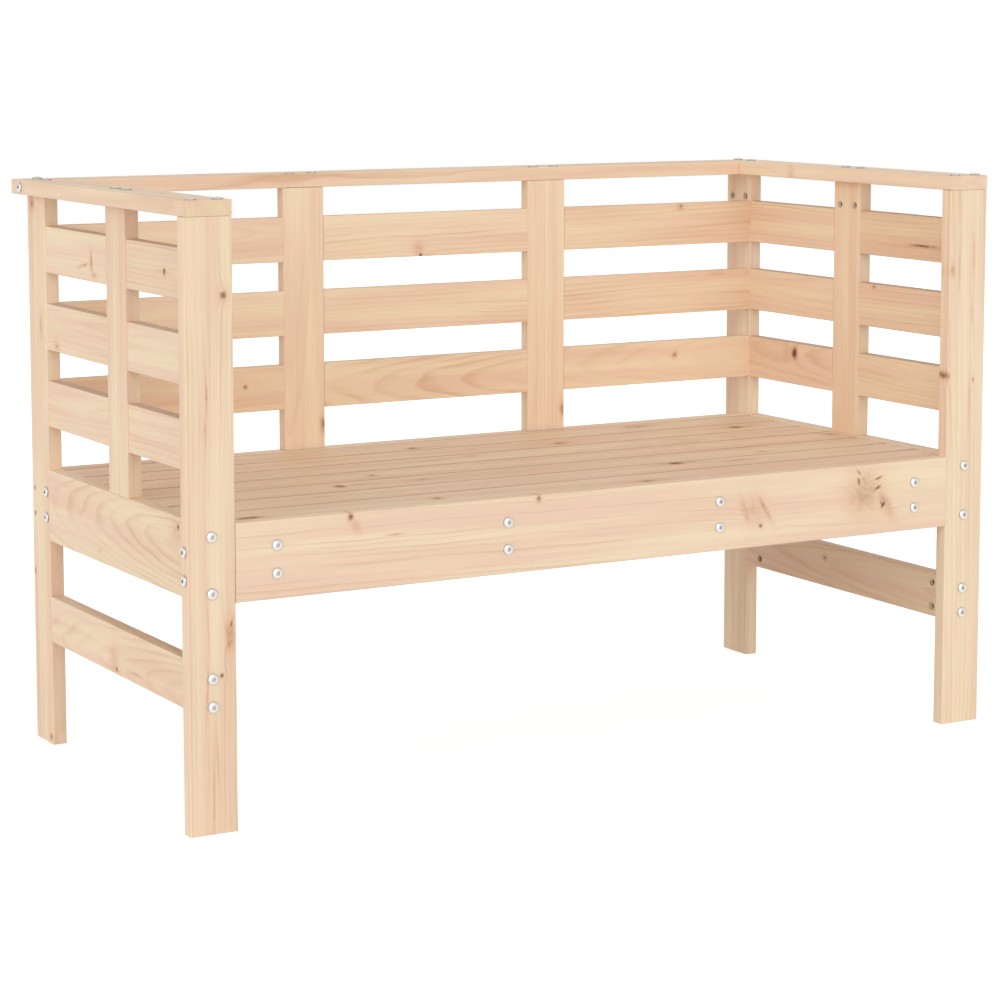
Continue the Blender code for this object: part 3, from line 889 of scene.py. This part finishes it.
share = add(bolt_tree, "ShaderNodeMath", {0: reach, 1: given["Head Radius"]}, operation="DIVIDE").outputs[0]
square = add(bolt_tree, "ShaderNodeMath", {0: share, 1: share}, operation="MULTIPLY").outputs[0]
rest = add(bolt_tree, "ShaderNodeMath", {0: 1.0, 1: square}, operation="SUBTRACT", use_clamp=True).outputs[0]
curve = add(bolt_tree, "ShaderNodeMath", {0: rest}, operation="SQRT").outputs[0]
lift = add(bolt_tree, "ShaderNodeMath", {0: curve, 1: given["Dome Height"]}, operation="MULTIPLY").outputs[0]
upward = add(bolt_tree, "ShaderNodeCombineXYZ", {"Z": lift}).outputs[0]
domed = add(
    bolt_tree,
    "GeometryNodeSetPosition",
    {"Geometry": disc["Mesh"], "Selection": disc["Top"], "Offset": upward},
).outputs[0]
half_rim = add(
    bolt_tree, "ShaderNodeMath", {0: given["Rim Height"], 1: 0.5}, operation="MULTIPLY"
).outputs[0]
raised = add(bolt_tree, "ShaderNodeCombineXYZ", {"Z": half_rim}).outputs[0]
head = add(bolt_tree, "GeometryNodeTransform", {"Geometry": domed, "Translation": raised}).outputs[0]
print("a bolt head has", HEAD_SIDES, "sides and", DOME_RINGS, "rings")

# %% [markdown]
# The socket is cut with a hexagonal prism. It is twice as long as the socket is deep and
# has its middle at the top of the dome, so that half of it cuts. After the cut each point
# stores its distance from the axis, for the colour of the zinc.

# %% The tree that makes bolts: the socket
depth = add(bolt_tree, "ShaderNodeMath", {0: given["Socket Depth"], 1: 2.0}, operation="MULTIPLY").outputs[0]
key = add(
    bolt_tree,
    "GeometryNodeMeshCylinder",
    {"Vertices": 6, "Radius": given["Socket Radius"], "Depth": depth},
    fill_type="NGON",
).outputs["Mesh"]
top = add(
    bolt_tree, "ShaderNodeMath", {0: given["Rim Height"], 1: given["Dome Height"]}, operation="ADD"
).outputs[0]
at_top = add(bolt_tree, "ShaderNodeCombineXYZ", {"Z": top}).outputs[0]
cutter = add(bolt_tree, "GeometryNodeTransform", {"Geometry": key, "Translation": at_top}).outputs[0]
cut = add(
    bolt_tree,
    "GeometryNodeMeshBoolean",
    {"Mesh 1": head, "Mesh 2": cutter},
    operation="DIFFERENCE",
    solver="EXACT",
).outputs["Mesh"]
marked = add(
    bolt_tree,
    "GeometryNodeStoreNamedAttribute",
    {"Geometry": cut, "Name": "from_axis", "Value": share},
    data_type="FLOAT",
    domain="POINT",
).outputs[0]
print("the socket has six sides")

# %% [markdown]
# Ten of the bolts are in the CAD frame with their shanks, so their points carry a shank
# length, and the tree adds a rod to them. The rod is one metre long and hangs below the
# head, so that its scale is its length. Heads and rods are turned to face outwards, which
# each point carries as a direction.

# %% The tree that makes bolts: shanks, and copies on points
SHANK_SIDES = 16
rod = add(
    bolt_tree,
    "GeometryNodeMeshCylinder",
    {"Vertices": SHANK_SIDES, "Radius": given["Shank Radius"], "Depth": 1.0},
    fill_type="NGON",
).outputs["Mesh"]
hung = add(bolt_tree, "GeometryNodeTransform", {"Geometry": rod, "Translation": (0, 0, -0.5)}).outputs[0]
shank = add(bolt_tree, "GeometryNodeInputNamedAttribute", {"Name": "shank"}, data_type="FLOAT").outputs[0]
has_shank = add(bolt_tree, "ShaderNodeMath", {0: shank, 1: 0.0}, operation="GREATER_THAN").outputs[0]
rod_scale = add(bolt_tree, "ShaderNodeCombineXYZ", {"X": 1.0, "Y": 1.0, "Z": shank}).outputs[0]
outward = add(
    bolt_tree, "GeometryNodeInputNamedAttribute", {"Name": "outward"}, data_type="FLOAT_VECTOR"
).outputs[0]
turn = add(bolt_tree, "FunctionNodeAlignRotationToVector", {"Vector": outward}, axis="Z").outputs[0]
heads_placed = add(
    bolt_tree,
    "GeometryNodeInstanceOnPoints",
    {"Points": given["Geometry"], "Instance": marked, "Rotation": turn},
).outputs[0]
rods_placed = add(
    bolt_tree,
    "GeometryNodeInstanceOnPoints",
    {
        "Points": given["Geometry"],
        "Instance": hung,
        "Rotation": turn,
        "Scale": rod_scale,
        "Selection": has_shank,
    },
).outputs[0]
joined = add(bolt_tree, "GeometryNodeJoinGeometry", {"Geometry": heads_placed})
bolt_tree.links.new(rods_placed, joined.inputs["Geometry"])
real = add(bolt_tree, "GeometryNodeRealizeInstances", {"Geometry": joined.outputs[0]}).outputs[0]
plated = add(bolt_tree, "GeometryNodeSetMaterial", {"Geometry": real, "Material": given["Metal"]}).outputs[0]
add(bolt_tree, "NodeGroupOutput", {"Geometry": plated})
print("bolt tree has", len(bolt_tree.nodes), "nodes")

# %% [markdown]
# The places of bolts and nuts could be typed in, but then they would miss their holes
# when the bench changes. They are worked out from the boards that each bolt joins
# instead: 16 or 32 mm to each side of the middle of the board, as furniture is drilled.
# A bolt goes through one board into the end of the next, and its nut lies 32 mm behind
# that end. First come the two ends of the bench, with legs, posts and caps.

# %% Where the bolts and the nuts of the two ends sit
NARROW = 0.016
WIDE = 0.032
NUT_SETBACK = 0.032
bolts = []
nuts = []


def middle(node):
    """Return the middle of a CAD board."""
    low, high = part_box(node)
    return (low + high) / 2


for side, sign in (("left", -1), ("right", 1)):
    leg_low, leg_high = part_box(f"front_leg_{side}")
    post_low, post_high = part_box(f"back_post_{side}")
    cap_low, cap_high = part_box(f"arm_cap_{side}")
    leg_in, leg_out = sorted((leg_low.x, leg_high.x), key=abs)
    post_in, post_out = sorted((post_low.x, post_high.x), key=abs)
    x = (leg_low.x + leg_high.x) / 2
    leg_y = (leg_low.y + leg_high.y) / 2
    post_y = (post_low.y + post_high.y) / 2
    stile_y = middle(f"side_stile_{side}").y
    apron_z = middle(f"side_apron_{side}").z
    stretcher_z = middle(f"side_stretcher_{side}").z
    nut_z = cap_low.z - NUT_SETBACK
    front_x = leg_in - sign * NUT_SETBACK
    for z, spread in ((apron_z, WIDE), (stretcher_z, NARROW)):
        for half in (-spread, spread):
            bolts.append(((x, leg_low.y, z + half), (0, -1, 0)))
            bolts.append(((x, post_high.y, z + half), (0, 1, 0)))
            for y in (leg_high.y + NUT_SETBACK, post_low.y - NUT_SETBACK):
                nuts.append(((post_in, y, z + half), (sign, 0, 0)))
    for half in (-NARROW, NARROW):
        bolts.append(((leg_out, leg_y, apron_z + half), (sign, 0, 0)))
        bolts.append(((post_out, middle("back_apron").y, apron_z + half), (sign, 0, 0)))
        bolts.append(((x + half, leg_y, cap_high.z), (0, 0, 1)))
        bolts.append(((x, stile_y + half, cap_high.z), (0, 0, 1)))
        bolts.append(((x, post_y + half, cap_high.z), (0, 0, 1)))
        nuts.append(((x + half, leg_high.y, nut_z), (0, -1, 0)))
        nuts.append(((post_in, stile_y + half, nut_z), (sign, 0, 0)))
        nuts.append(((post_in, post_y + half, nut_z), (sign, 0, 0)))
        nuts.append(((front_x, leg_high.y, apron_z + half), (0, -1, 0)))
        nuts.append(((post_in - sign * NUT_SETBACK, post_low.y, apron_z + half), (0, 1, 0)))
    nuts.append(((front_x, post_y, cap_low.z), (0, 0, 1)))
print(len(bolts), "bolts and", len(nuts), "nuts at the two ends")

# %% [markdown]
# Then come the stiles of the back, which hang from the back rail, and the four bearers
# under the seat. The nuts of a bearer lie on the side that looks towards the middle of the
# bench, and go into the wood from there.

# %% Where the bolts and the nuts of the back and the bearers sit
for side in ("left", "right"):
    stile = middle(f"back_stile_{side}")
    stile_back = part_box(f"back_stile_{side}")[1].y
    for half in (-NARROW, NARROW):
        bolts.append(((stile.x + half, stile.y, cap_high.z), (0, 0, 1)))
        nuts.append(((stile.x + half, stile_back, nut_z), (0, -1, 0)))
for number in range(1, 5):
    bearer_low, bearer_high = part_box(f"bearer_{number}")
    bearer = middle(f"bearer_{number}")
    inward_x = math.copysign(1, bearer.x)
    face_x = bearer_low.x if inward_x > 0 else bearer_high.x
    for half in (-NARROW, NARROW):
        bolts.append(((bearer.x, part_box("back_apron")[1].y, bearer.z + half), (0, 1, 0)))
        for y in (bearer_low.y + NUT_SETBACK, bearer_high.y - NUT_SETBACK):
            nuts.append(((face_x, y, bearer.z + half), (inward_x, 0, 0)))
print(len(bolts), "bolts and", len(nuts), "nuts besides the bolts of the frame")

# %% [markdown]
# A mesh of single points carries the places into the tree. The bolts of the CAD frame
# join them here: their boxes tell which way they point, because a bolt is longest along
# its shank, and how long the shank is.

# %% Bolts on their points
HEAD_RADIUS = 0.0065
RIM_HEIGHT = 0.0008
DOME_HEIGHT = 0.0016
SOCKET_WIDTH = 0.004
SOCKET_DEPTH = 0.0018
SHANK_RADIUS = 0.003
SHARP_METAL_ANGLE = math.radians(40)


def points_mesh(name, places, attribute_name):
    """Make a mesh of single points that each carry a direction."""
    mesh = bpy.data.meshes.new(name)
    mesh.from_pydata([place for place, direction in places], [], [])
    store(mesh, attribute_name, [direction for place, direction in places], "FLOAT_VECTOR")
    return mesh


seats = [(tuple(Vector(place) + Vector(way) * CONTACT), way) for place, way in bolts]
shanks = [0.0] * len(seats)
for node in frame_bolts:
    low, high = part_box(node)
    seat = (low + high) / 2
    length = high - low
    axis = max(range(3), key=lambda number: length[number])
    sign = math.copysign(1, seat[axis])
    way = [0, 0, 0]
    way[axis] = sign
    seat[axis] = (high if sign > 0 else low)[axis] - sign * (RIM_HEIGHT + DOME_HEIGHT)
    seats.append((tuple(seat), tuple(way)))
    shanks.append(length[axis] - RIM_HEIGHT - DOME_HEIGHT)
bolt_points = points_mesh("bolt seats", seats, "outward")
store(bolt_points, "shank", shanks)
heads = grow("bolt_heads", bolt_tree, {
    "Head Radius": HEAD_RADIUS,
    "Rim Height": RIM_HEIGHT,
    "Dome Height": DOME_HEIGHT,
    "Socket Radius": SOCKET_WIDTH / math.sqrt(3),
    "Socket Depth": SOCKET_DEPTH,
    "Shank Radius": SHANK_RADIUS,
    "Metal": zinc,
}, bolt_points)
heads = plain(heads)
heads.data.shade_smooth()
heads.data.set_sharp_from_angle(angle=SHARP_METAL_ANGLE)
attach(heads, "root")
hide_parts(*frame_bolts)
print(len(seats), "bolts have", len(heads.data.polygons), "faces")

# %% [markdown]
# ## Cross nuts
#
# Each bolt ends in a round nut that lies across it in a hole of 10 mm, drilled from a side
# of the board that is seldom looked at. The nut sits a few millimetres deep, so from
# outside the hole looks dark with a glint of metal, and the nut itself is painted dark
# grey as painted shade. A slot in its end lets a screwdriver turn it until its thread meets
# the bolt. The tree is the same idea as for the bolts: one nut, set on many points.

# %% The tree that makes cross nuts
NUT_SIDES = 24
SLOT_LENGTH = 0.02
nut_tree, given = geometry_tree("cross nuts", {
    "Radius": "Float",
    "Length": "Float",
    "Recess": "Float",
    "Slot Width": "Float",
    "Slot Depth": "Float",
    "Metal": "Material",
})
barrel = add(
    nut_tree,
    "GeometryNodeMeshCylinder",
    {"Vertices": NUT_SIDES, "Radius": given["Radius"], "Depth": given["Length"]},
    fill_type="NGON",
).outputs["Mesh"]
half_length = add(nut_tree, "ShaderNodeMath", {0: given["Length"], 1: 0.5}, operation="MULTIPLY").outputs[0]
deep = add(nut_tree, "ShaderNodeMath", {0: half_length, 1: given["Recess"]}, operation="ADD").outputs[0]
inside = add(nut_tree, "ShaderNodeCombineXYZ", {"Z": deep}).outputs[0]
sunk = add(nut_tree, "GeometryNodeTransform", {"Geometry": barrel, "Translation": inside}).outputs[0]
slot_size = add(
    nut_tree, "ShaderNodeCombineXYZ", {"X": SLOT_LENGTH, "Y": given["Slot Width"], "Z": given["Slot Depth"]}
).outputs[0]
slot = add(nut_tree, "GeometryNodeMeshCube", {"Size": slot_size}).outputs["Mesh"]
at_face = add(nut_tree, "ShaderNodeCombineXYZ", {"Z": given["Recess"]}).outputs[0]
slot_cutter = add(nut_tree, "GeometryNodeTransform", {"Geometry": slot, "Translation": at_face}).outputs[0]
slotted = add(
    nut_tree,
    "GeometryNodeMeshBoolean",
    {"Mesh 1": sunk, "Mesh 2": slot_cutter},
    operation="DIFFERENCE",
    solver="EXACT",
).outputs["Mesh"]
inward = add(
    nut_tree, "GeometryNodeInputNamedAttribute", {"Name": "inward"}, data_type="FLOAT_VECTOR"
).outputs[0]
turn = add(nut_tree, "FunctionNodeAlignRotationToVector", {"Vector": inward}, axis="Z").outputs[0]
placed = add(
    nut_tree,
    "GeometryNodeInstanceOnPoints",
    {"Points": given["Geometry"], "Instance": slotted, "Rotation": turn},
).outputs[0]
real = add(nut_tree, "GeometryNodeRealizeInstances", {"Geometry": placed}).outputs[0]
plated = add(nut_tree, "GeometryNodeSetMaterial", {"Geometry": real, "Material": given["Metal"]}).outputs[0]
add(nut_tree, "NodeGroupOutput", {"Geometry": plated})
print("nut tree has", len(nut_tree.nodes), "nodes")

# %% [markdown]
# The nuts are 9 mm wide and lie 5 mm deep. Their points carry the way into the wood, so
# the slot looks out of the hole.

# %% Cross nuts on their points
NUT_RADIUS = 0.0045
NUT_LENGTH = 0.007
NUT_RECESS = 0.005
SLOT_WIDTH = 0.0015
SLOT_DEPTH = 0.002
barrels = grow("cross_nuts", nut_tree, {
    "Radius": NUT_RADIUS,
    "Length": NUT_LENGTH,
    "Recess": NUT_RECESS,
    "Slot Width": SLOT_WIDTH,
    "Slot Depth": SLOT_DEPTH,
    "Metal": zinc,
}, points_mesh("nut seats", nuts, "inward"))
barrels = plain(barrels)
barrels.data.shade_smooth()
barrels.data.set_sharp_from_angle(angle=SHARP_METAL_ANGLE)
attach(barrels, "root")
print("cross nuts have", len(barrels.data.polygons), "faces")

# %% [markdown]
# ## The studio
#
# The bench was photographed against plain white. The floor is a wide matt plane, just
# below the feet, so that the two don't share a plane. It glows white to the camera, and
# mirrored in metal, but its glow lights nothing. The glow is just enough that its lit parts
# turn white, while the soft shadow under the bench still shows.

# %% Floor
FLOOR_REACH = 8.0
FLOOR_DROP = 0.0005
FLOOR_GREY = 0.9
FLOOR_GLOW = 0.6
WHITE = (1, 1, 1, 1)


def shows_backdrop(tree):
    """Return a socket that is 1 for rays from the camera and rays mirrored or let through."""
    path = add(tree, "ShaderNodeLightPath").outputs
    shows = path["Is Camera Ray"]
    for kind in ("Is Glossy Ray", "Is Transmission Ray"):
        shows = add(tree, "ShaderNodeMath", {0: shows, 1: path[kind]}, operation="MAXIMUM").outputs[0]
    return shows


floor_mesh = bpy.data.meshes.new("floor")
shape = bmesh.new()
bmesh.ops.create_grid(shape, x_segments=1, y_segments=1, size=FLOOR_REACH)
shape.to_mesh(floor_mesh)
shape.free()
floor = bpy.data.objects.new("floor", floor_mesh)
floor.location.z = -FLOOR_DROP
bpy.context.scene.collection.objects.link(floor)
white = bpy.data.materials.new("white studio floor")
white.use_nodes = True
paint = white.node_tree
white_shader = paint.nodes["Principled BSDF"]
white_shader.inputs["Base Color"].default_value = (FLOOR_GREY, FLOOR_GREY, FLOOR_GREY, 1)
white_shader.inputs["Roughness"].default_value = 1.0
white_shader.inputs["Specular IOR Level"].default_value = 0.0
white_shader.inputs["Emission Color"].default_value = WHITE
glow = add(
    paint, "ShaderNodeMath", {0: shows_backdrop(paint), 1: FLOOR_GLOW}, operation="MULTIPLY"
).outputs[0]
paint.links.new(glow, white_shader.inputs["Emission Strength"])
floor.data.materials.append(white)
print("the floor is", 2 * FLOOR_REACH, "m wide")

# %% [markdown]
# The light is soft and comes from all around, with more of it from the front and the
# left. A white world gives the even part. To the camera, and mirrored in metal, it is full
# white. Two wide suns, low in front and at the left, give the rest. Suns are as bright on
# the far end of the bench as on the near one, and their wide angle blurs their shadows.

# %% Light
WORLD_LIGHT = 0.6
BACKDROP = 1.0
SUN_ANGLE = math.radians(40)
SUN_DISTANCE = 4
SUNS = {
    # name: strength, and the way that the light goes
    "left sun": (0.85, Vector((0.95, 0.2, -0.24))),
    "front sun": (0.92, Vector((0.12, 0.95, -0.29))),
}

world = bpy.data.worlds.new("white studio")
bpy.context.scene.world = world
world.use_nodes = True
sky = world.node_tree
sky.nodes.clear()
around = add(sky, "ShaderNodeBackground", {"Color": WHITE, "Strength": WORLD_LIGHT}).outputs[0]
backdrop = add(sky, "ShaderNodeBackground", {"Color": WHITE, "Strength": BACKDROP}).outputs[0]
either = add(sky, "ShaderNodeMixShader", {0: shows_backdrop(sky), 1: around, 2: backdrop}).outputs[0]
add(sky, "ShaderNodeOutputWorld", {"Surface": either})

for name, (strength, toward) in SUNS.items():
    light = bpy.data.lights.new(name, "SUN")
    light.energy = strength
    light.angle = SUN_ANGLE
    sun = bpy.data.objects.new(name, light)
    sun.location = toward * -SUN_DISTANCE
    sun.rotation_mode = "QUATERNION"
    sun.rotation_quaternion = toward.to_track_quat("-Z", "Y")
    bpy.context.scene.collection.objects.link(sun)
bpy.context.scene.view_settings.view_transform = "Standard"
print("world and", len(SUNS), "suns")

# %% [markdown]
# ## The camera
#
# The photograph was taken from the front left, about three and a half metres away, with a
# long lens a little above the arm caps. The values come from matching the corners of
# the boards with the picture. A small vertical shift keeps the uprights nearly parallel.
# In the photograph they are fully so.

# %% Camera
SENSOR_WIDTH_MM = 36
LENS_MM = 103.03
SHIFT_Y = -0.14
CAMERA_PLACE = (-1.8055, -3.129, 0.893)
YAW = math.radians(29.87)
PITCH = math.radians(6.56)

camera_data = bpy.data.cameras.new("camera")
camera_data.sensor_width = SENSOR_WIDTH_MM
camera_data.lens = LENS_MM
camera_data.shift_y = SHIFT_Y
camera = bpy.data.objects.new("camera", camera_data)
camera.location = CAMERA_PLACE
ahead = math.cos(PITCH)
forward = Vector((math.sin(YAW) * ahead, math.cos(YAW) * ahead, -math.sin(PITCH)))
camera.rotation_mode = "QUATERNION"
camera.rotation_quaternion = forward.to_track_quat("-Z", "Y")
bpy.context.scene.collection.objects.link(camera)
bpy.context.scene.camera = camera
print("camera at", [round(value, 3) for value in camera.location])
